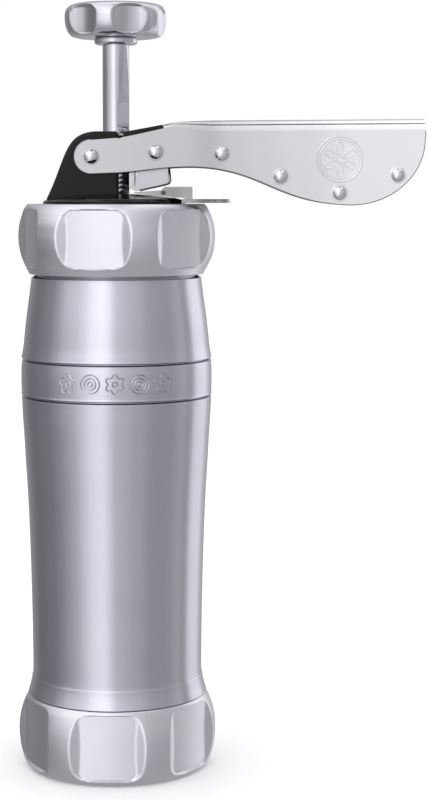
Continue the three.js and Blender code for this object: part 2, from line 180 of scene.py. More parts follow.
def rings(material, scale, radial):
    """Noise that only changes with height, or with distance from the Z axis when radial."""
    place = node(material, "ShaderNodeTexCoord")
    split = node(material, "ShaderNodeSeparateXYZ")
    link(material, place.outputs["Object"], split.inputs["Vector"])
    along = split.outputs["Z"]
    if radial:
        flat = node(material, "ShaderNodeCombineXYZ")
        link(material, split.outputs["X"], flat.inputs["X"])
        link(material, split.outputs["Y"], flat.inputs["Y"])
        length = node(material, "ShaderNodeVectorMath", operation="LENGTH")
        link(material, flat.outputs["Vector"], length.inputs[0])
        along = length.outputs["Value"]
    texture = node(material, "ShaderNodeTexNoise", noise_dimensions="1D", Scale=scale, Detail=4.0)
    link(material, along, texture.inputs["W"])
    return texture.outputs["Fac"]


def vary(material, source, low, high, target):
    """Maps a 0 to 1 value onto a shader input, between low and high."""
    ranged = node(material, "ShaderNodeMapRange")
    ranged.inputs["From Min"].default_value = 0.3
    ranged.inputs["From Max"].default_value = 0.7
    ranged.inputs["To Min"].default_value = low
    ranged.inputs["To Max"].default_value = high
    link(material, source, ranged.inputs["Value"])
    link(material, ranged.outputs["Result"], target)


def tint(material, source, dark, light, target):
    ramp = node(material, "ShaderNodeValToRGB")
    ramp.color_ramp.elements[0].position = 0.3
    ramp.color_ramp.elements[0].color = (*dark, 1)
    ramp.color_ramp.elements[1].position = 0.7
    ramp.color_ramp.elements[1].color = (*light, 1)
    link(material, source, ramp.inputs["Fac"])
    link(material, ramp.outputs["Color"], target)


def bump(material, shader, source, distance_mm, strength=1.0, before=None):
    made = node(material, "ShaderNodeBump", Strength=strength, Distance=distance_mm * MM)
    link(material, source, made.inputs["Height"])
    if before is not None:
        link(material, before, made.inputs["Normal"])
    link(material, made.outputs["Normal"], shader.inputs["Normal"])
    return made.outputs["Normal"]


def satin_aluminium(name, dark, light, rough, grain=0.0016):
    """Bead-blasted, anodised aluminium with faint turning lines under the satin."""
    material, shader = new_material(name, light, sum(rough) / 2, 1.0)
    mottle = noise(material, 45, detail=4)
    tint(material, mottle, dark, light, shader.inputs["Base Color"])
    vary(material, noise(material, 160, detail=5), rough[0], rough[1], shader.inputs["Roughness"])
    first = bump(material, shader, rings(material, 5200, False), grain * 0.5)
    bump(material, shader, noise(material, 6500, detail=2), grain, before=first)
    return material


def turned_aluminium(name, dark, light, rough):
    """Machined discs, with circular tool marks."""
    material, shader = new_material(name, light, sum(rough) / 2, 1.0)
    tint(material, noise(material, 60), dark, light, shader.inputs["Base Color"])
    vary(material, rings(material, 900, True), rough[0], rough[1], shader.inputs["Roughness"])
    bump(material, shader, rings(material, 2600, True), 0.006)
    return material


def brushed_steel(name, dark, light, rough, stretch, depth):
    """Sheet with straight brush lines and a few broad, softer smears."""
    material, shader = new_material(name, light, sum(rough) / 2, 1.0)
    lines = noise(material, 900, stretch, detail=6, roughness=0.7)
    smears = noise(material, 38, detail=3)
    tint(material, smears, dark, light, shader.inputs["Base Color"])
    vary(material, lines, rough[0], rough[1], shader.inputs["Roughness"])
    bump(material, shader, lines, depth)
    return material


def lever_steel():
    """Fine-brushed sheet whose base colour carries painted shade and light along X: darker by the pivot,
    brighter towards the tip of the grip.
    """
    material, shader = new_material("lever_steel", (0.72, 0.72, 0.73), 0.17, 1.0)
    place = node(material, "ShaderNodeTexCoord")
    split = node(material, "ShaderNodeSeparateXYZ")
    link(material, place.outputs["Object"], split.inputs["Vector"])
    along = node(material, "ShaderNodeMapRange", From_Min=LEVER_SPAN[0], From_Max=LEVER_SPAN[1])
    link(material, split.outputs["X"], along.inputs["Value"])
    # painted shade and light: the base colour follows the tones above along the lever's length
    ramp = node(material, "ShaderNodeValToRGB")
    ramp.color_ramp.interpolation = "EASE"
    stops = ramp.color_ramp.elements
    for i, (spot, tone) in enumerate(LEVER_PAINTED_SHADE_TONES):
        stop = stops[0] if i == 0 else stops[-1] if i == len(LEVER_PAINTED_SHADE_TONES) - 1 else stops.new(spot)
        stop.position = spot
        stop.color = (tone, tone, tone * 1.01, 1)
    link(material, along.outputs["Result"], ramp.inputs["Fac"])
    link(material, ramp.outputs["Color"], shader.inputs["Base Color"])
    lines = noise(material, 900, (0.03, 1, 1), detail=6, roughness=0.7)
    vary(material, lines, 0.14, 0.19, shader.inputs["Roughness"])
    bump(material, shader, lines, 0.0005)
    return material


def polished(name, dark, light, rough):
    """Bright plating with hairline scratches and slight handling marks."""
    material, shader = new_material(name, light, sum(rough) / 2, 1.0)
    tint(material, noise(material, 80), dark, light, shader.inputs["Base Color"])
    wear = noise(material, 260, detail=6, roughness=0.7)
    vary(material, wear, rough[0], rough[1], shader.inputs["Roughness"])
    bump(material, shader, noise(material, 1900, (1, 1, 0.12), detail=4), 0.0012)
    return material


def moulded_plastic(name, dark, light, rough, grain):
    material, shader = new_material(name, light, sum(rough) / 2, 0.0)
    shader.inputs["Specular IOR Level"].default_value = 0.24
    tint(material, noise(material, 70), dark, light, shader.inputs["Base Color"])
    vary(material, noise(material, 240, detail=4), rough[0], rough[1], shader.inputs["Roughness"])
    bump(material, shader, noise(material, 900, detail=4), grain)
    return material


MATERIALS = {
    "body": satin_aluminium(
        "satin_aluminium", (0.58, 0.565, 0.632), (0.605, 0.59, 0.657), (0.16, 0.20), 0.0006,
    ),
    "ring": satin_aluminium(
        "ring_aluminium", (0.70, 0.695, 0.74), (0.74, 0.735, 0.78), (0.30, 0.35), 0.0005,
    ),
    "knob": satin_aluminium(
        "knob_aluminium", (0.60, 0.595, 0.635), (0.65, 0.645, 0.685), (0.14, 0.18), 0.0001,
    ),
    "disc": turned_aluminium("turned_aluminium", (0.66, 0.66, 0.68), (0.74, 0.74, 0.76), (0.22, 0.34)),
    "lever": lever_steel(),
    "sheet": brushed_steel(
        "brushed_sheet", (0.30, 0.285, 0.28), (0.64, 0.615, 0.60), (0.16, 0.34), (0.12, 1, 0.5), 0.004,
    ),
    # painted shade: a dark steel for the bevels and rims of the lever, selector and pawl, darkening their
    # edges
    "edge": brushed_steel(
        "painted_shade_edge", (0.24, 0.24, 0.25), (0.32, 0.32, 0.33), (0.22, 0.30), (1, 1, 1), 0.001,
    ),
    "steel": brushed_steel(
        "plain_steel", (0.54, 0.55, 0.575), (0.64, 0.65, 0.675), (0.18, 0.28), (1, 1, 0.05), 0.001,
    ),
    "wire": brushed_steel(
        "spring_wire", (0.10, 0.10, 0.11), (0.16, 0.16, 0.17), (0.28, 0.38), (1, 1, 1), 0.001,
    ),
    "chrome": polished("bright_plating", (0.72, 0.72, 0.74), (0.78, 0.78, 0.80), (0.02, 0.05)),
    "rod": polished("rod_plating", (0.60, 0.61, 0.64), (0.66, 0.67, 0.70), (0.10, 0.15)),
    "black": moulded_plastic(
        "black_plastic", (0.0025, 0.0023, 0.0026), (0.005, 0.0046, 0.005), (0.13, 0.20), 0.002,
    ),
    "white": moulded_plastic("white_bush", (0.70, 0.69, 0.65), (0.78, 0.77, 0.73), (0.38, 0.48), 0.006),
}


# ---------- meshes ----------
def mesh_object(name, vertices, faces, material, scale=MM):
    mesh = bpy.data.meshes.new(name)
    mesh.from_pydata([tuple(c * scale for c in v) for v in vertices], [], faces)
    mesh.validate()
    outwards(mesh)
    made = bpy.data.objects.new(name, mesh)
    bpy.context.scene.collection.objects.link(made)
    mesh.materials.append(MATERIALS[material])
    return made


def outwards(mesh):
    """Turns every face of a closed mesh outwards."""
    work = bmesh.new()
    work.from_mesh(mesh)
    bmesh.ops.recalc_face_normals(work, faces=work.faces)
    work.to_mesh(mesh)
    work.free()


def shade(piece, sharp_degrees=35):
    """Smooth shading that keeps real corners crisp and flat faces flat."""
    mesh = piece.data
    work = bmesh.new()
    work.from_mesh(mesh)
    bmesh.ops.recalc_face_normals(work, faces=work.faces)
    limit = math.radians(sharp_degrees)
    for face in work.faces:
        face.smooth = True
    for edge in work.edges:
        edge.smooth = len(edge.link_faces) == 2 and edge.calc_face_angle(0) < limit
    work.to_mesh(mesh)
    work.free()
    even = piece.modifiers.new("even_normals", "WEIGHTED_NORMAL")
    even.keep_sharp = True
    return piece


def bevelled(piece, width_mm, segments=3, degrees=30, edge_material=-1):
    """Rounds the sharp edges, and may give them another of the piece's materials."""
    rounding = piece.modifiers.new("edges", "BEVEL")
    rounding.material = edge_material
    rounding.width = width_mm * MM
    rounding.segments = segments
    rounding.limit_method = "ANGLE"
    rounding.angle_limit = math.radians(degrees)
    rounding.use_clamp_overlap = True
    rounding.harden_normals = False
    return piece


def applied(piece):
    """The same object with its modifiers made real."""
    bpy.context.view_layer.update()
    evaluated = piece.evaluated_get(bpy.context.evaluated_depsgraph_get())
    mesh = bpy.data.meshes.new_from_object(evaluated)
    piece.modifiers.clear()
    piece.data = mesh
    return piece


def cut(piece, *cutters, operation="DIFFERENCE"):
    """Boolean with each cutter, which is then removed."""
    for cutter in cutters:
        boolean = piece.modifiers.new("cut", "BOOLEAN")
        boolean.operation = operation
        boolean.solver = "EXACT"
        boolean.material_mode = "TRANSFER"
        boolean.object = cutter
        applied(piece)
        bpy.data.objects.remove(cutter)
    return piece


def arc(center, radius, start, end, count):
    """Points round a centre, from one angle to another in degrees."""
    angles = (math.radians(start + (end - start) * i / count) for i in range(count + 1))
    return [(center[0] + radius * math.cos(a), center[1] + radius * math.sin(a)) for a in angles]


def bezier(a, b, c, d, count):
    """Points of a cubic curve from a to d, without its first point."""
    points = []
    for i in range(1, count + 1):
        t = i / count
        u = 1 - t
        weights = (u**3, 3 * u * u * t, 3 * u * t * t, t**3)
        points.append(tuple(sum(w * p[k] for w, p in zip(weights, (a, b, c, d))) for k in (0, 1)))
    return points


def spline(points, steps):
    """A smooth line through the points, as centripetal Catmull-Rom, with steps on each stretch."""
    line = [points[0]]
    ends = [points[0], *points, points[-1]]
    for i in range(1, len(points)):
        before, a, b, after = (Vector(ends[i + k]) for k in (-1, 0, 1, 2))
        for s in range(1, steps + 1):
            t = s / steps
            value = 0.5 * (
                2 * a + (b - before) * t + (2 * before - 5 * a + 4 * b - after) * t * t
                + (3 * a - before - 3 * b + after) * t**3
            )
            line.append(tuple(value))
    return line


def rounded(points, steps=5):
    """A line of (a, b, radius) points whose corners are rounded to their radius."""
    line = []
    for i, point in enumerate(points):
        here = Vector(point[:2])
        radius = point[2] if len(point) > 2 else 0
        if not radius or i in (0, len(points) - 1):
            line.append(tuple(here))
            continue
        back = (Vector(points[i - 1][:2]) - here).normalized()
        on = (Vector(points[i + 1][:2]) - here).normalized()
        half = back.angle(on) / 2
        reach = radius / math.tan(half)
        start, end = here + back * reach, here + on * reach
        center = here + (back + on).normalized() * (radius / math.sin(half))
        a, b = start - center, end - center
        sweep = a.angle(b)
        for s in range(steps + 1):
            t = s / steps
            mixed = (a * math.sin((1 - t) * sweep) + b * math.sin(t * sweep)) / math.sin(sweep)
            line.append(tuple(center + mixed))
    return line


def revolve(name, profile, material, sides=128, shape=None):
    """A solid of revolution about Z from (radius, z) points. A profile that starts off the axis is a closed
    loop. shape(angle, radius, z) may change the radius."""
    on_axis = profile[0][0] < 1e-6
    body = profile[1:-1] if on_axis else profile
    rows = len(body)
    vertices, faces = [], []
    for k in range(sides):
        angle = TAU * k / sides
        for r, z in body:
            out = shape(angle, r, z) if shape else r
            vertices.append((out * math.cos(angle), out * math.sin(angle), z))
    joined = rows if not on_axis else rows - 1
    for k in range(sides):
        a, b = k * rows, ((k + 1) % sides) * rows
        for i in range(joined):
            j = (i + 1) % rows
            faces.append((a + i, b + i, b + j, a + j))
    if on_axis:
        low, high = len(vertices), len(vertices) + 1
        vertices += [(0, 0, profile[0][1]), (0, 0, profile[-1][1])]
        for k in range(sides):
            a, b = k * rows, ((k + 1) % sides) * rows
            faces.append((low, b, a))
            faces.append((high, a + rows - 1, b + rows - 1))
    return mesh_object(name, vertices, faces, material)


def extruded(name, low, high, material):
    """A closed solid between two outlines with the same number of points."""
    count = len(low)
    faces = [tuple(range(count)), tuple(range(2 * count - 1, count - 1, -1))]
    faces += [(i, (i + 1) % count, (i + 1) % count + count, i + count) for i in range(count)]
    return mesh_object(name, low + high, faces, material)


def prism(name, outline, y, material):
    """An outline in X and Z, between two values of Y."""
    low, high = ([(px, side, pz) for px, pz in outline] for side in y)
    return extruded(name, low, high, material)


def slab(name, outline, z, material):
    """An outline in X and Y, between two values of Z."""
    low, high = ([(px, py, level) for px, py in outline] for level in z)
    return extruded(name, low, high, material)


def block(name, x, y, z, material):
    return slab(name, [(x[0], y[0]), (x[1], y[0]), (x[1], y[1]), (x[0], y[1])], z, material)


def turn_about_z(piece, degrees):
    piece.data.transform(Matrix.Rotation(math.radians(degrees), 4, "Z"))
    return piece


def wire(name, points, radius, material, sides=10, per_stretch=6, closed=False):
    """A round wire along a smooth line, with capped ends or closed into a loop."""
    line = points if per_stretch == 1 else spline(points, per_stretch)
    curve = bpy.data.curves.new(name, "CURVE")
    curve.dimensions = "3D"
    curve.bevel_depth = radius * MM
    curve.bevel_resolution = sides // 4
    curve.use_fill_caps = not closed
    path = curve.splines.new("POLY")
    path.points.add(len(line) - 1)
    path.use_cyclic_u = closed
    for point, spot in zip(path.points, line):
        point.co = (*(c * MM for c in spot), 1)
    holder = bpy.data.objects.new(name + "_line", curve)
    bpy.context.scene.collection.objects.link(holder)
    bpy.context.view_layer.update()
    mesh = bpy.data.meshes.new_from_object(holder)
    mesh.name = name
    mesh.materials.clear()
    mesh.materials.append(MATERIALS[material])
    bpy.data.objects.remove(holder)
    made = bpy.data.objects.new(name, mesh)
    bpy.context.scene.collection.objects.link(made)
    for polygon in mesh.polygons:
        polygon.use_smooth = True
    return made


def place(piece, body, slot, *nodes):
    """The piece moves with a body and stands for CAD nodes; its slot argument is not used."""
    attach(piece, body)
    if nodes:
        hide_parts(*nodes)
    return piece


# ---------- scallops ----------
def soft_min(a, b, blend):
    """The smaller of two numbers, with a rounded change over blend."""
    h = max(0.0, min(1.0, 0.5 + 0.5 * (b - a) / blend))
    return b * (1 - h) + a * h - blend * h * (1 - h)


def scallops(turn, floor, half, z_range, shape):
    """Milled finger grips with a crowned or hollow floor, sloping side walls and steep, rounded ends.

    shape is one of the tuples that RING_SCALLOP explains.
    """
    hollow, side_slope, end_slope, corner, rim = shape
    middle = (z_range[0] + z_range[1]) / 2
    half_height = (z_range[1] - z_range[0]) / 2
    period = TAU / GRIPS
    start = math.radians(turn - 90)

    def shaped(angle, radius, z):
        away = (angle - start + period / 2) % period - period / 2
        across = radius * math.sin(away)
        side = max(abs(across) - (half - corner), 0)
        end = max(abs(z - middle) - (half_height - corner), 0)
        out = math.hypot(side, end) - corner
        rise = hollow * min(abs(across) / half, 1.0) ** 2
        if out > 0:
            share = end * end / (side * side + end * end)
            rise += out * (side_slope * (1 - share) + end_slope * share) + 0.03 * out * out
        return soft_min(radius, (floor + rise) / math.cos(away), rim)

    return shaped


def dense(profile, spacing):
    """The same line with more points where it is long and straight."""
    line = [profile[0]]
    for a, b in zip(profile, profile[1:]):
        length = math.hypot(b[0] - a[0], b[1] - a[1])
        count = max(1, math.ceil(length / spacing))
        for i in range(1, count + 1):
            line.append((a[0] + (b[0] - a[0]) * i / count, a[1] + (b[1] - a[1]) * i / count))
    return line


def scalloped_ring(name, outer, inner, material, turn, z_range, sides=480):
    shaped = scallops(turn, RING_FLOOR_R, RING_GRIP_HALF, z_range, RING_SCALLOP)
    inner_limit = min(r for r, _ in outer) - 0.8

    def outside_only(angle, radius, z):
        return shaped(angle, radius, z) if radius > inner_limit else radius

    profile = dense(outer, 0.36) + inner
    return shade(revolve(name, profile, material, sides, outside_only), 50)


def bottom_ring():
    outer = [(27.3, 0.02), (27.6, 0.12), (28.25, 0.6), (29.1, 1.7), (30.0, 3.8), (30.6, 6.4), (30.95, 9.6)]
    outer += [(30.98, 12.4), (30.7, 15.4), (30.1, 18.0), (29.3, 20.3), (28.6, 21.7), (28.15, 22.5)]
    outer = spline(outer, 6) + [(27.85, 22.85)]
    bore = [(RING_BORE_R + 0.5, SEAM_Z), (RING_BORE_R, 22.3)]
    bore += thread_profile(RING_BORE_R, 21.2, 4.0, 0.22)
    bore += [(RING_BORE_R, 0.8), (25.3, 0.8), (25.0, 0.6), (25.0, 0.2), (25.25, 0.0), (27.2, 0.0)]
    return scalloped_ring("base_ring", outer, bore, "ring", BOTTOM_RING_TURN, (1.9, 21.6))


def top_ring():
    z0, z1 = TOP_RING_Z
    outer = [(27.0, z0 - 0.3), (27.3, z0 - 0.2), (27.9, 156.3), (29.0, 158.3), (30.05, 160.6), (30.75, 163.2)]
    outer += [(31.02, 165.6), (31.02, 167.4), (30.75, 170.1), (30.15, 172.2), (29.3, 174.3), (28.5, 175.8)]
    outer += [(27.9, 176.55), (27.5, 176.78)]
    outer = spline(outer, 6)
    inside = [(27.0, z1), (23.8, z1), (23.4, z1 - 0.2), (23.3, z1 - 0.6), (23.3, 174.6), (RING_BORE_R, 174.6)]
    inside += thread_profile(RING_BORE_R, 172.6, 157.2, 0.22)
    inside += [(RING_BORE_R, 156.3), (RING_BORE_R + 0.2, z0 - 0.3)]
    return scalloped_ring("collar_ring", outer, inside, "ring", TOP_RING_TURN, (157.4, 174.9))


def thread_profile(radius, start, end, depth):
    """Thread teeth as rings, which stay clear of the mating piece at any height."""
    turns = int(abs(start - end) / THREAD_PITCH * 2)
    step = (end - start) / turns
    line = []
    for i in range(turns):
        z = start + i * step
        line += [(radius, z), (radius + depth, z + step * 0.35), (radius + depth, z + step * 0.6)]
    return line + [(radius, end)]


# ---------- barrel ----------
def barrel():
    flare = [(28.1, 23.15), (27.85, 24.0), (27.4, 25.6), (27.05, 27.2), (26.86, 28.6)]
    waist = [(26.66, 28.95), (26.6, 30.5), (26.6, 34.5), (26.68, 42), (26.82, 50), (27.1, 62), (27.5, 74.5)]
    waist += [(27.95, 85), (28.6, 96), (29.05, 104), (29.45, 110), (29.68, 114.6), (29.74, 115.6)]
    shoulder = [(29.62, 130.2), (29.2, 132.6), (28.8, 136.5), (28.25, 141.5), (27.55, 146.6), (26.95, 151.0)]
    shoulder += [(26.74, 152.7), (26.66, 153.8)]
    outer = [(NECK_R, 22.3), (NECK_R, 23.05), (27.9, 23.05)] + spline(flare, 5) + spline(waist, 10)
    outer += groove(GROOVES_Z[0], 29.78) + [(29.86, 119.5), (29.9, 122.5), (29.86, 125.8)]
    outer += groove(GROOVES_Z[1], 29.72) + spline(shoulder, 10)
    outer += [(26.45, 153.95), (25.0, 154.8), (25.0, 154.95), (26.0, 155.7), (26.0, 156.0)]  # undercut
    top = thread_profile(NECK_R - THREAD_ROOT, 157, 169.6, 0.24)
    top += [(26.1, 171.3), (24.9, 171.3), (BORE_R, 170.9)]
    bottom = [(BORE_R, 3.0), (24.9, 2.55), (26.0, 2.55), (26.2, 2.9)]
    bottom += thread_profile(NECK_R - THREAD_ROOT, 4.5, 20.6, 0.24)
    tube = revolve("barrel_tube", bottom + outer + top, "body", 256)
    return shade(cut(tube, engraving()), 28)


def on_band(u, v):
    """A point on the barrel's band, from a distance round it and a height above its middle, in mm."""
    angle = u / BAND_R - math.pi / 2
    return (ENGRAVING_R * math.cos(angle), ENGRAVING_R * math.sin(angle), sum(GROOVES_Z) / 2 + v)


def engraving():
    """A row of plain biscuit outlines: rings and flowers of five and six petals."""
    rows = []
    for i, lobes in enumerate((5, 0, 6, 0, 5)):
        u = 1 + ENGRAVING_PITCH * (i - 2)
        radius, wave = {0: (2.85, 0), 5: (2.6, 0.42), 6: (2.6, 0.42)}[lobes]
        rows.append(wave_loop(u, radius, wave, lobes))
        rows.append(wave_loop(u, 0.75, 0, 1))
        if lobes == 0:
            rows.append(wave_loop(u, 1.75, 0, 1))
    return joined("engraving", rows)


def wave_loop(u, radius, wave, lobes):
    points = []
    count = 96 if wave else 40
    for i in range(count):
        a = TAU * i / count
        r = radius + wave * math.cos(lobes * (a - math.pi / 2))
        points.append(on_band(u + r * math.cos(a), r * math.sin(a)))
    return wire("outline", points, ENGRAVING_WIRE, "body", 8, 1, closed=True)


def groove(z, radius):
    """A deep, narrow turned groove with a V section, under a small raised bead."""
    half, depth, bead = 0.34, 1.3, 0.16
    return [
        (radius, z - half - 0.5),
        (radius, z - half - 0.08),
        (radius - 0.1, z - half),
        (radius - depth, z - 0.05),
        (radius - depth, z + 0.05),
        (radius - 0.05, z + half),
        (radius + bead * 0.7, z + half + 0.1),
        (radius + bead, z + half + 0.25),
        (radius + bead * 0.6, z + half + 0.5),
        (radius + 0.01, z + half + 0.85),
    ]


# ---------- die, bush and piston ----------
def forming_die():
    low, high = DIE_Z
    profile = rounded([(0, low), (DIE_R, low, 0.25), (DIE_R, high, 0.25), (0, high)])
    die = revolve("flower_disc", profile, "disc", 160)
    for i in range(PETALS):
        petal = arc((0, 7.5), 1.6, 180, 360, 12) + arc((0, 16), 3.2, 0, 180, 16)
        cutter = slab("petal", petal, (0, 4), "disc")
        cut(die, turn_about_z(cutter, 360 / PETALS * i))
    return shade(bevelled(die, 0.12, 2, 60), 30)


# ---------- head ----------
def head_dome():
    profile = [
        (ROD_HOLE_R, 176.3), (11.8, 176.3), (11.8, 171.6), (25.9, 171.6, 0.3), (26.2, 171.9, 0.3),
        (26.2, 174.0, 0.3), (25.9, 174.3, 0.2), (HEAD_BOSS_R, 174.3), (HEAD_BOSS_R, 177.55, 0.5),
        (21.6, 178.3, 1.5), (18.7, 178.75, 6), (11.7, 179.6, 8), (ROD_HOLE_R + 0.6, 180.1, 0.3),
        (ROD_HOLE_R, 179.8),
    ]
    return revolve("press_head", rounded(profile), "black", 160)


def cheek_outline():
    top = [(1.1, 177.2), (1.1, 199.3), (-6, 199.3)]
    back = bezier((-6, 199.3), (-12.5, 199), (-14.3, 195.5), (-16.35, 190.4), 14)
    back += bezier((-16.35, 190.4), (-17.9, 186.4), (-19.2, 182.5), (-21.2, 178.6), 8)
    return top + back + [(-21.2, 177.2)]


def cheek_hollow():
    wall = bezier((-6.5, 197.2), (-11, 196.6), (-12.6, 194), (-14.1, 190.2), 10)
    return [(40, 181.3), (40, 203), (-6.5, 203), (-6.5, 197.2)] + wall + [(-17.4, 181.3)]


def sector(r_inner, r_outer, start, end):
    return arc((0, 0), r_outer, start, end, 16) + arc((0, 0), r_inner, end, start, 16)


def pin_bar(spot):
    """A cutter for a pin's hole, right through the object."""
    return prism("bar", arc(spot, PIN_HOLE_R, 0, 352.5, 47), (-20, 20), "black")


def press_head():
    head = head_dome()
    cheeks = prism("cheeks", cheek_outline(), (-CHEEK_Y[1], CHEEK_Y[1]), "black")
    applied(bevelled(cheeks, 1.1, 5, 40))
    cut(head, cheeks, operation="UNION")
    rod_hole = revolve("rod_hole", [(0, 170), (ROD_HOLE_R, 170), (ROD_HOLE_R, 210), (0, 210)], "black", 96)
    hollow = prism("hollow", cheek_hollow(), (-CHEEK_Y[0], CHEEK_Y[0]), "black")
    well = block("well", (3, 17.6), (-WELL_Y, WELL_Y), (175.3, 190), "black")
    window = slab("window", sector(11.4, 24, -SELECTOR_SWING - 23, 23), (174.5, 178.6), "black")
    cut(head, rod_hole, hollow, well, window, pin_bar(PIVOT))
    return shade(head, 32)


# ---------- selector ----------
def selector():
    half, (low, high) = SELECTOR_HALF, SELECTOR_Z
    clear = HEAD_BOSS_R + 0.4
    ring = revolve("thickness_selector", [(6.9, 174.8), (11, 174.8), (11, 176), (6.9, 176)], "sheet", 96)
    neck = block("neck", (8, 21.7), (-4, 4), (174.8, 176), "sheet")
    step = block("step", (20.5, 21.7), (-4, 4), (174.9, high - 0.1), "sheet")
    edge = [(15, -half), (25, -half)]
    edge += bezier((25, -half), (29, -half), (30, -5.5), (31.5, -5), 10)
    edge += bezier((31.5, -5), (37, -4.5), (37, 4.5), (31.5, 5), 24)
    edge += bezier((31.5, 5), (30, 5.5), (29, half), (25, half), 10) + [(15, half)]
    tongue = slab("tongue", edge, (low, high), "sheet")
    cut(tongue, revolve("round", [(0, 170), (clear, 170), (clear, 182), (0, 182)], "sheet"))
    bridge = block("bridge", (20.6, 25), (-3.9, 3.9), (low + 0.05, high - 0.05), "sheet")
    top = [(24.6, 177.4), (24, 178.6), (24, 182.1, 0.5), (15.4, 182.1, 0.9), (14.3, 181.0, 0.5), (6, 180.5)]
    outline = rounded(top) + [(6, 180.1), (15.8, 179.15), (21.6, 178.6), (21.6, 177.4)]
    wedge = prism("wedge", outline, (-half + 0.02, -half + SHEET), "sheet")
    turns = np.linspace(0, TAU, 24, endpoint=False)
    oval = [(15.1 + 0.8 * math.cos(a), 180.2 + 0.65 * math.sin(a)) for a in turns]
    # painted shade: the blind oval dimple takes the dark spring-wire steel from its cutter, so it reads as a
    # dark opening
    cut(wedge, prism("oval", oval, (-half - 1, -half + 0.55), "wire"))
    cut(ring, neck, step, tongue, bridge, wedge, operation="UNION")
    # painted shade: the selector's bevels take the dark edge steel
    ring.data.materials.append(MATERIALS["edge"])
    return shade(bevelled(ring, 0.28, 3, 50, edge_material=len(ring.data.materials) - 1), 30)


# ---------- lever ----------
def lever_top():
    """The fold's outer top line, from its open end to the tip of the grip."""
    return [(15.2, 201.3)] + bezier((15.2, 201.3), (18.5, 202.1), (23, 202.65), (31, 202.8), 10) + [
        (31 + 64.8 * i / 30, 202.8 + 0.45 * i / 30) for i in range(1, 31)
    ]


def lever_lower():
    """The plate's lower edge, from the tip of the grip back to the pivot's round end."""
    line = bezier((95.8, 201.4), (95.9, 199), (95.8, 198), (95.6, 195.6), 3)
    line += bezier((95.6, 195.6), (95.2, 186), (86, 176.7), (73.1, 176.6), 22)
    line += bezier((73.1, 176.6), (50, 177), (46, 187.9), (24, 188.4), 30)
    line += bezier((24, 188.4), (14, 188.4), (10, 187.2), (1.8, 186.6), 10)
    return line + arc(PIVOT, 5.15, 270, 90, 26)


def lever_ear():
    """The plate's upper edge from the pivot's round end to the fold, with its small nick."""
    nick = [(0.9, 197.15), (1.5, 196.8), (2.1, 197.3)]
    return nick + bezier((2.1, 197.3), (7, 198.2), (11, 199.2), (15.0, 200.05), 8)


def fold_section(x, z):
    """The fold's line across the lever at one station: a rounded corner and a slightly crowned top."""
    t = min(max((x - 15.2) / 16, 0), 1)
    ease = t * t * (3 - 2 * t)
    bend, crown = 1.2 + 2.4 * ease, 0.2 * ease
    flat = LEVER_Y - bend
    points = []
    for i in range(9):
        a = math.pi / 2 * i / 8
        points.append((x, -LEVER_Y + bend * (1 - math.cos(a)), z - crown - bend * (1 - math.sin(a))))
    for y in (-0.6 * flat, -0.3 * flat, 0):
        points.append((x, y, z - crown * (y / flat) ** 2))
    return points + [(px, -py, pz) for px, py, pz in reversed(points[:-1])]


def lever():
    """A sheet folded into an upside-down channel: two plates joined by a rounded fold."""
    top = lever_top()
    vertices, faces = [], []
    for x, z in top:
        vertices += fold_section(x, z)
    width = len(vertices) // len(top)
    for k in range(len(top) - 1):
        for i in range(width - 1):
            a, b = k * width + i, (k + 1) * width + i
            faces.append((a, a + 1, b + 1, b))
    rest = lever_lower() + lever_ear()
    for side, column in ((-1, 0), (1, width - 1)):
        start = len(vertices)
        vertices += [(x, side * LEVER_Y, z) for x, z in rest]
        line = [k * width + column for k in range(len(top))] + list(range(start, start + len(rest)))
        faces.append(tuple(line if side < 0 else reversed(line)))
    shell = mesh_object("lever_channel", vertices, faces, "lever")
    work = bmesh.new()
    work.from_mesh(shell.data)
    if max(work.faces, key=lambda f: f.calc_center_median().z).normal.z < 0:
        bmesh.ops.reverse_faces(work, faces=work.faces)
    work.to_mesh(shell.data)
    work.free()
    thick = shell.modifiers.new("thickness", "SOLIDIFY")
    thick.thickness = SHEET * MM
    thick.offset = -1
    thick.use_even_offset = True
    applied(shell)
    # painted shade: the lever's bevels take the dark edge steel
    shell.data.materials.append(MATERIALS["edge"])
    return shade(applied(bevelled(shell, 0.36, 3, 50, edge_material=1)), 40)


def lever_rims():
    """The rounded lower edges of the lever's two plates, in the dark edge steel that paints shade along them.
    """
    rims = []
    for side in (-1, 1):
        points = [(x, side * (LEVER_Y - 0.24), z) for x, z in lever_lower()]
        rims.append(wire("rim", points, 0.26, "edge", 8, 1))
    return joined("lever_rims", rims)


def grip_ornament():
    """A raised rosette on the grip: a double ring round six petals."""
    center, y = ROSETTE, -LEVER_Y - 0.08
    parts = []

    def loop(middle, radii, turn, thickness):
        points = []
        for i in range(56):
            a = TAU * i / 56
            along, across = radii[0] * math.cos(a), radii[1] * math.sin(a)
            points.append((
                middle[0] + along * math.cos(turn) - across * math.sin(turn), y,
                middle[1] + along * math.sin(turn) + across * math.cos(turn),
            ))
        parts.append(wire("rosette_line", points, thickness, "lever", 8, 1, closed=True))

    loop(center, (7.0, 7.0), 0, 0.24)
    loop(center, (6.1, 6.1), 0, 0.16)
    loop(center, (0.9, 0.9), 0, 0.2)
    for i in range(PETALS):
        a = TAU * i / PETALS + TAU / 12
        loop((center[0] + 3.4 * math.cos(a), center[1] + 3.4 * math.sin(a)), (1.95, 0.95), a, 0.2)
    return joined("grip_rosette", parts)


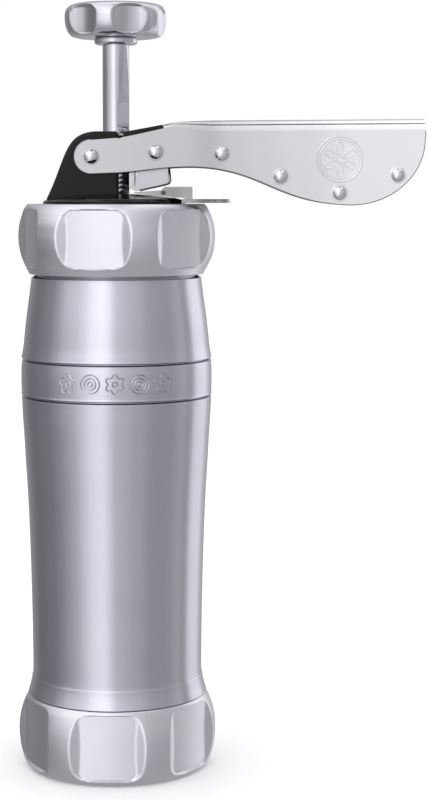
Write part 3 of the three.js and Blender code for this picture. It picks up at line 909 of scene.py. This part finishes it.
def rivet_seats():
    """The low pressed rings that the rivet heads sit in."""
    parts = []
    profile = [(2.2, 0.0), (2.3, 0.015), (2.42, 0.025), (2.54, 0.015), (2.66, 0.0)]
    profile += [(2.6, -0.15), (2.2, -0.15)]
    for spot in (PIVOT, PAWL_PIVOT, *GRIP_RIVETS):
        for side in (-1, 1):
            seat = revolve("seat", profile, "lever", 48)
            seat.data.transform(Matrix.Rotation(-side * math.pi / 2, 4, "X"))
            seat.data.transform(Matrix.Translation((spot[0] * MM, side * LEVER_Y * MM, spot[1] * MM)))
            outwards(seat.data)
            parts.append(seat)
    return joined("rivet_seats", parts)


def joined(name, parts):
    """Several meshes as one object."""
    work = bmesh.new()
    for part in parts:
        work.from_mesh(part.data)
    mesh = bpy.data.meshes.new(name)
    work.to_mesh(mesh)
    work.free()
    mesh.materials.append(parts[0].data.materials[0])
    made = bpy.data.objects.new(name, mesh)
    bpy.context.scene.collection.objects.link(made)
    for part in parts:
        bpy.data.objects.remove(part)
    for polygon in mesh.polygons:
        polygon.use_smooth = True
    return made


def rivet(name, spot):
    """A cross pin with a high round head at each side."""
    face = LEVER_Y + 0.02
    top = face + 0.1 + RIVET_HEIGHT
    profile = [(1.55, face - 0.4), (1.55, face), (RIVET_R, face)]
    profile += dome_line(RIVET_R, face + 0.1, RIVET_HEIGHT)[:-1]
    line = [(0, -top)] + [(r, -z) for r, z in reversed(profile)] + profile + [(0, top)]
    pin = revolve(name, line, "chrome", 48)
    pin.data.transform(Matrix.Rotation(math.pi / 2, 4, "X"))
    pin.data.transform(Matrix.Translation((spot[0] * MM, 0, spot[1] * MM)))
    return shade(pin, 40)


def dome_line(radius, base, height):
    """A domed head's profile from its edge to its top."""
    return [(radius * math.cos(a), base + height * math.sin(a)) for a in np.linspace(0.05, math.pi / 2, 14)]


# ---------- pawl and springs ----------
def pawl():
    x, z = PAWL_PIVOT
    side = [(5.9, 180.9), (16.3, 183.1), (16.4, 188.4), (x + 3.3, z)]
    side += arc((x, z), 3.3, 0, 180, 20)[1:] + [(6.8, 188.2)]
    plates = prism("ratchet_pawl", side, (-5.6, 5.6), "steel")
    cut(plates, block("between", (-10, 40), (-4.6, 4.6), (170, 210), "steel"))
    nose_line = [(4.5, 181.5), (6.2, 180.9), (15.5, 182.95), (15.3, 183.9), (6.3, 182.3), (4.5, 182.3)]
    web = block("web", (4.6, 5.95), (-5.4, 5.4), (181.6, 188), "steel")
    cut(plates, prism("nose", nose_line, (-5.5, 5.5), "steel"), web, operation="UNION")
    cut(plates, pin_bar(PAWL_PIVOT))
    # painted shade: the pawl's bevels take the dark edge steel
    plates.data.materials.append(MATERIALS["edge"])
    return shade(bevelled(plates, 0.22, 2, 50, edge_material=len(plates.data.materials) - 1), 30)


def torsion_line(center, radius, half_length, turns, start, leg_a, leg_b):
    points = [*leg_a]
    per_turn = 16
    for i in range(turns * per_turn + 1):
        a = start + TAU * i / per_turn
        y = -half_length + 2 * half_length * i / (turns * per_turn)
        points.append((center[0] + radius * math.cos(a), y, center[1] + radius * math.sin(a)))
    return points + [*leg_b]


def return_spring():
    line = torsion_line(
        PIVOT, 2.4, 2.4, 5, math.pi / 2,
        [(-12.2, -2.4, 192.9), (-10, -2.4, 193.6)], [(-9, 2.5, 193.9), (-12.2, 2.5, 193.4)],
    )
    return wire("return_spring", line, 0.3, "wire", 10, 2)


def pawl_spring():
    # painted shade: the second leg runs in dark wire along the pawl's lower edge, drawing the dark line under
    # its lip
    line = torsion_line(
        PAWL_PIVOT, 2.4, 2.2, 4, math.pi,
        [(10.4, -2.4, 196.2), (9.9, -2.3, 194.4)],
        [(10.2, 2.4, 190.4), (12.4, 1, 189.2), (16.2, -2, 188.5), (16.8, -4.4, 187), (17.05, -5.0, 184.6),
         (16.9, -5.3, 183.4), (15.6, -5.6, 182.75), (11.5, -5.7, 181.85), (7.6, -5.7, 181.0)],
    )
    return wire("ratchet_spring", line, 0.3, "wire", 10, 2)


# ---------- plunger ----------
def rack_comb():
    bottom, top = RACK_Z
    teeth = round((top - bottom) / RACK_PITCH)
    line = [(6.5, bottom), (RACK_ROOT, bottom)]
    for i in range(1, teeth):
        z = bottom + i * RACK_PITCH
        line += [(RACK_CREST, z - 0.25), (RACK_CREST - 0.05, z - 0.05), (RACK_ROOT, z)]
    line += [(RACK_CREST, top), (RACK_ROOT, top), (RACK_ROOT, FLAT_TOP_Z - FLAT_RUN_OUT)]
    return line + [(ROD_R + 0.02, FLAT_TOP_Z), (6.5, FLAT_TOP_Z)]


def plunger_rod():
    profile = [(0, 36.5), (1.8, 36.5), (1.8, 28.7), (2.7, 28.7, 0.1), (STUB_R, 28.9), (STUB_R, 37.9)]
    profile += [(3.9, 37.9), (ROD_R, 38.2), (ROD_R, 226.2), (3.9, 226.5), (STUB_R, 226.5), (STUB_R, 235.6)]
    rod = revolve("rack_rod", rounded(profile + [(2.5, 236), (0, 236)]), "rod", 96)
    comb = prism("comb", rack_comb(), (-6, 6), "rod")
    line = [(-0.13, 40), (0.13, 40), (0.1, 196), (0.02, 212), (-0.02, 212), (-0.1, 196)]
    scribed = prism("scribed", line, (-6, -3.75), "rod")
    flat_edge = RACK_TURN - math.degrees(math.acos(RACK_ROOT / ROD_R))
    cut(rod, turn_about_z(comb, RACK_TURN - 90), turn_about_z(scribed, flat_edge))
    return shade(rod, 30)


def knob():
    z0, z1 = KNOB_Z
    inner = [(0, 236.3), (3.2, 236.3), (3.2, z0), (5, z0), (7.5, z0), (10, z0)]
    outer = [(12.2, z0 + 0.02), (13.4, z0 + 0.3), (14.4, 229.4), (15.2, 230.5), (15.85, 232.2), (16.05, 234)]
    outer += [(16.05, 235.4), (15.75, 236.7), (15.0, 237.8), (13.8, 238.55), (11.8, 238.95)]
    outer += [(6, 239.22), (3, 239.28)]
    shaped = scallops(KNOB_TURN, KNOB_FLOOR_R, KNOB_GRIP_HALF, (229.3, 237.2), KNOB_SCALLOP)

    def outside_only(angle, radius, z):
        return shaped(angle, radius, z) if radius > 8 else radius

    profile = inner + dense(spline(outer, 5), 0.25) + [(0, z1)]
    return shade(revolve("lobed_knob", profile, "knob", 512, outside_only), 50)


def knob_bush():
    """The collar under the knob, whose underside is dished where the rod meets it."""
    profile = [(3.2, 226.65), (4.3, 226.65), (6.2, 226.4, 0.2), (6.7, 226.9, 0.5)]
    profile += [(6.7, 228.1, 0.4), (6.4, 228.45, 0.2), (3.2, 228.45)]
    return shade(revolve("knob_collar", rounded(profile), "knob", 96), 40)


# ---------- build ----------
place(barrel(), "barrel", "body_aluminium", "barrel")
place(bottom_ring(), "bottom_ring", "body_aluminium", "bottom_ring_nut")
place(top_ring(), "top_ring", "body_aluminium", "top_ring_nut")
place(forming_die(), "die_seat", "disc_aluminium", "forming_die")
place(press_head(), "head", "black_plastic", "head_housing")
place(return_spring(), "head", "spring_wire", "lever_return_spring")
place(selector(), "selector", "brushed_sheet", "selector_plate")
place(lever(), "lever", "lever_steel", "lever_shell")
place(lever_rims(), "lever", "lever_steel")
place(grip_ornament(), "lever", "lever_steel")
place(rivet_seats(), "lever", "lever_steel")
for name, spot in (("lever_pivot_pin", PIVOT), ("pawl_pin", PAWL_PIVOT)):
    place(rivet(name + "_domed", spot), "lever", "chrome", name)
for i, spot in enumerate(GRIP_RIVETS):
    place(rivet(f"grip_rivet_{i + 1}_domed", spot), "lever", "chrome", f"grip_rivet_{i + 1}")
place(pawl(), "pawl", "steel", "pawl")
place(pawl_spring(), "pawl", "spring_wire", "pawl_spring")
place(plunger_rod(), "rod", "chrome", "plunger_rod")
place(knob(), "rod", "knob_aluminium", "knob")
place(knob_bush(), "rod", "chrome", "knob_bush")

# CAD nodes that keep their own mesh get a finish and softened edges.
KEPT = {
    "lever_liner": ("black", 0.25),
    "rod_guide_bush": ("white", 0.2),
    "bush_screw_1": ("steel", 0.1),
    "bush_screw_2": ("steel", 0.1),
    "bush_screw_3": ("steel", 0.1),
    "piston_disc": ("disc", 0.2),
    "piston_screw": ("steel", 0.1),
}
for name, (finish, width) in KEPT.items():
    kept = frame["nodes"][name]
    kept.data.materials.clear()
    kept.data.materials.append(MATERIALS[finish])
    bevelled(kept, width, 2, 40)


# ---------- camera, light and floor ----------
def camera():
    data = bpy.data.cameras.new("camera")
    data.lens = 87.75
    data.sensor_width = 36
    data.sensor_fit = "AUTO"
    data.shift_y = -0.1285
    data.clip_start = 0.01
    made = bpy.data.objects.new("camera", data)
    made.location = (0.03079, -0.612, 0.17957)
    made.rotation_euler = (math.radians(87), 0, 0)
    bpy.context.scene.collection.objects.link(made)
    bpy.context.scene.camera = made


# Brightness that the metal mirrors, by compass angle from the front (- is to the left), a little below the
# horizon, a little above it and high up: a large soft box front left with a crisp right edge, a dimmer
# front wall, a bright strip behind the right side, and dark gaps between them.
STUDIO_WALLS = (
    (-180, 0.42, 0.50, 0.55), (-150, 0.32, 0.36, 0.60), (-122, 0.22, 0.26, 0.80), (-90, 0.26, 0.38, 1.20),
    (-76, 0.34, 0.62, 1.35), (-66, 0.44, 0.90, 1.40), (-52, 0.62, 1.00, 1.40), (-40, 0.91, 1.16, 1.40),
    (-30, 1.13, 1.52, 1.50), (-22, 1.22, 1.68, 1.50), (-14, 1.24, 1.76, 1.45), (-6, 0.95, 1.54, 1.35),
    (0, 0.72, 1.05, 1.20), (8, 0.68, 0.90, 1.00), (28, 0.56, 0.74, 0.70), (50, 0.42, 0.54, 0.50),
    (72, 0.42, 0.50, 0.50), (92, 0.54, 0.66, 0.60), (102, 0.44, 0.46, 0.60), (108, 0.54, 0.64, 0.80),
    (114, 0.95, 1.25, 1.10), (122, 1.02, 1.42, 1.20), (138, 1.00, 1.42, 1.20), (151, 0.58, 0.72, 0.80),
    (166, 0.45, 0.50, 0.60), (180, 0.42, 0.50, 0.55),
)
CEILING = 1.25
GROUND = 0.45
WALL_HEIGHTS = (-0.26, 0.24, 0.55)  # the sines of the elevations that STUDIO_WALLS is given for
BAR_X = (0.045, 0.10)  # middle and half width, along X, of a dark patch overhead and slightly in front
BAR_Y = (-0.25, 0.13)  # the same along Y
AMBIENT = 1.42  # soft light that falls on the floor from all round
FLOOR_HALF = 3.0  # metres
FLOOR_GAP = 0.0002  # metres between the floor and the press, so that their faces don't meet


def math_node(material, operation, a, b=None):
    made = node(material, "ShaderNodeMath", operation=operation)
    for socket, value in zip(made.inputs, (a, b)):
        if isinstance(value, (int, float)):
            socket.default_value = value
        elif value is not None:
            link(material, value, socket)
    return made.outputs[0]


def ranged(material, value, span, target, smooth=False):
    made = node(material, "ShaderNodeMapRange")
    if smooth:
        made.interpolation_type = "SMOOTHSTEP"
    for key, number in zip(("From Min", "From Max", "To Min", "To Max"), (*span, *target)):
        made.inputs[key].default_value = number
    link(material, value, made.inputs["Value"])
    return made.outputs["Result"]


def wall_ramp(studio, around, column):
    ramp = node(studio, "ShaderNodeValToRGB")
    ramp.color_ramp.interpolation = "EASE"
    stops = ramp.color_ramp.elements
    for i, row in enumerate(STUDIO_WALLS):
        spot = (row[0] + 180) / 360
        stop = stops[0] if i == 0 else stops[-1] if i == len(STUDIO_WALLS) - 1 else stops.new(spot)
        stop.position = spot
        stop.color = (row[column] / 2, row[column] / 2, row[column] / 2, 1)
    link(studio, around, ramp.inputs["Fac"])
    return math_node(studio, "MULTIPLY", ramp.outputs["Color"], 2)


def studio_brightness(studio):
    """What a mirror sees in each direction: the walls round it, the ceiling above and the ground below."""

    def blend(a, b, factor):
        kept = math_node(studio, "MULTIPLY", a, math_node(studio, "SUBTRACT", 1, factor))
        return math_node(studio, "ADD", kept, math_node(studio, "MULTIPLY", factor, b))

    direction = node(studio, "ShaderNodeTexCoord")
    split = node(studio, "ShaderNodeSeparateXYZ")
    link(studio, direction.outputs["Generated"], split.inputs["Vector"])
    x, y, z = (split.outputs[k] for k in "XYZ")
    compass = math_node(studio, "ARCTAN2", x, math_node(studio, "MULTIPLY", y, -1))
    around = ranged(studio, compass, (-math.pi, math.pi), (0, 1))
    low, high, upper = (wall_ramp(studio, around, column) for column in (1, 2, 3))
    walls = blend(low, high, ranged(studio, z, WALL_HEIGHTS[:2], (0, 1)))
    walls = blend(walls, upper, ranged(studio, z, WALL_HEIGHTS[1:], (0, 1)))
    up = ranged(studio, z, (0.68, 0.90), (0, 1), smooth=True)
    down = ranged(studio, z, (-0.35, -0.85), (0, 1), smooth=True)
    sky = blend(walls, CEILING, up)
    for value, (middle, half) in ((x, BAR_X), (y, BAR_Y)):
        away = math_node(studio, "ABSOLUTE", math_node(studio, "SUBTRACT", value, middle))
        outside = ranged(studio, away, (half * 0.75, half * 1.25), (0, 1), smooth=True)
        clear = outside if value is x else math_node(studio, "MAXIMUM", clear, outside)
    below = ranged(studio, z, (0.1, 0.3), (1, 0), smooth=True)
    sky = math_node(studio, "MULTIPLY", sky, math_node(studio, "MAXIMUM", clear, below))
    return blend(sky, GROUND, down)


def world():
    """A soft studio: white behind the object, even light on the floor, soft boxes in the reflections."""
    studio = bpy.data.worlds.new("studio")
    bpy.context.scene.world = studio
    studio.use_nodes = True
    studio.cycles.sampling_method = "NONE"
    mirrored = studio.node_tree.nodes["Background"]
    mirrored.inputs["Color"].default_value = (0.97, 0.975, 1.0, 1)
    link(studio, studio_brightness(studio), mirrored.inputs["Strength"])
    ambient = node(studio, "ShaderNodeBackground")
    ambient.inputs["Color"].default_value = (1, 1, 1, 1)
    ambient.inputs["Strength"].default_value = AMBIENT
    white = node(studio, "ShaderNodeBackground")
    white.inputs["Color"].default_value = (1, 1, 1, 1)
    path = node(studio, "ShaderNodeLightPath")
    first = node(studio, "ShaderNodeMixShader")
    link(studio, path.outputs["Is Glossy Ray"], first.inputs["Fac"])
    link(studio, ambient.outputs["Background"], first.inputs[1])
    link(studio, mirrored.outputs["Background"], first.inputs[2])
    second = node(studio, "ShaderNodeMixShader")
    link(studio, path.outputs["Is Camera Ray"], second.inputs["Fac"])
    link(studio, first.outputs["Shader"], second.inputs[1])
    link(studio, white.outputs["Background"], second.inputs[2])
    link(studio, second.outputs["Shader"], studio.node_tree.nodes["World Output"].inputs["Surface"])


def floor():
    corners = [(x * FLOOR_HALF, y * FLOOR_HALF, 0) for x, y in ((-1, -1), (1, -1), (1, 1), (-1, 1))]
    mesh = bpy.data.meshes.new("floor")
    mesh.from_pydata(corners, [], [(0, 1, 2, 3)])
    made = bpy.data.objects.new("floor", mesh)
    bpy.context.scene.collection.objects.link(made)
    material, _ = new_material("pale_floor", (0.86, 0.86, 0.87), 0.6, 0.0)
    made.data.materials.append(material)
    made.location.z = cad_box[0][2] - FLOOR_GAP
    made.visible_glossy = False


camera()
world()
floor()
bpy.context.scene.view_settings.view_transform = "Standard"
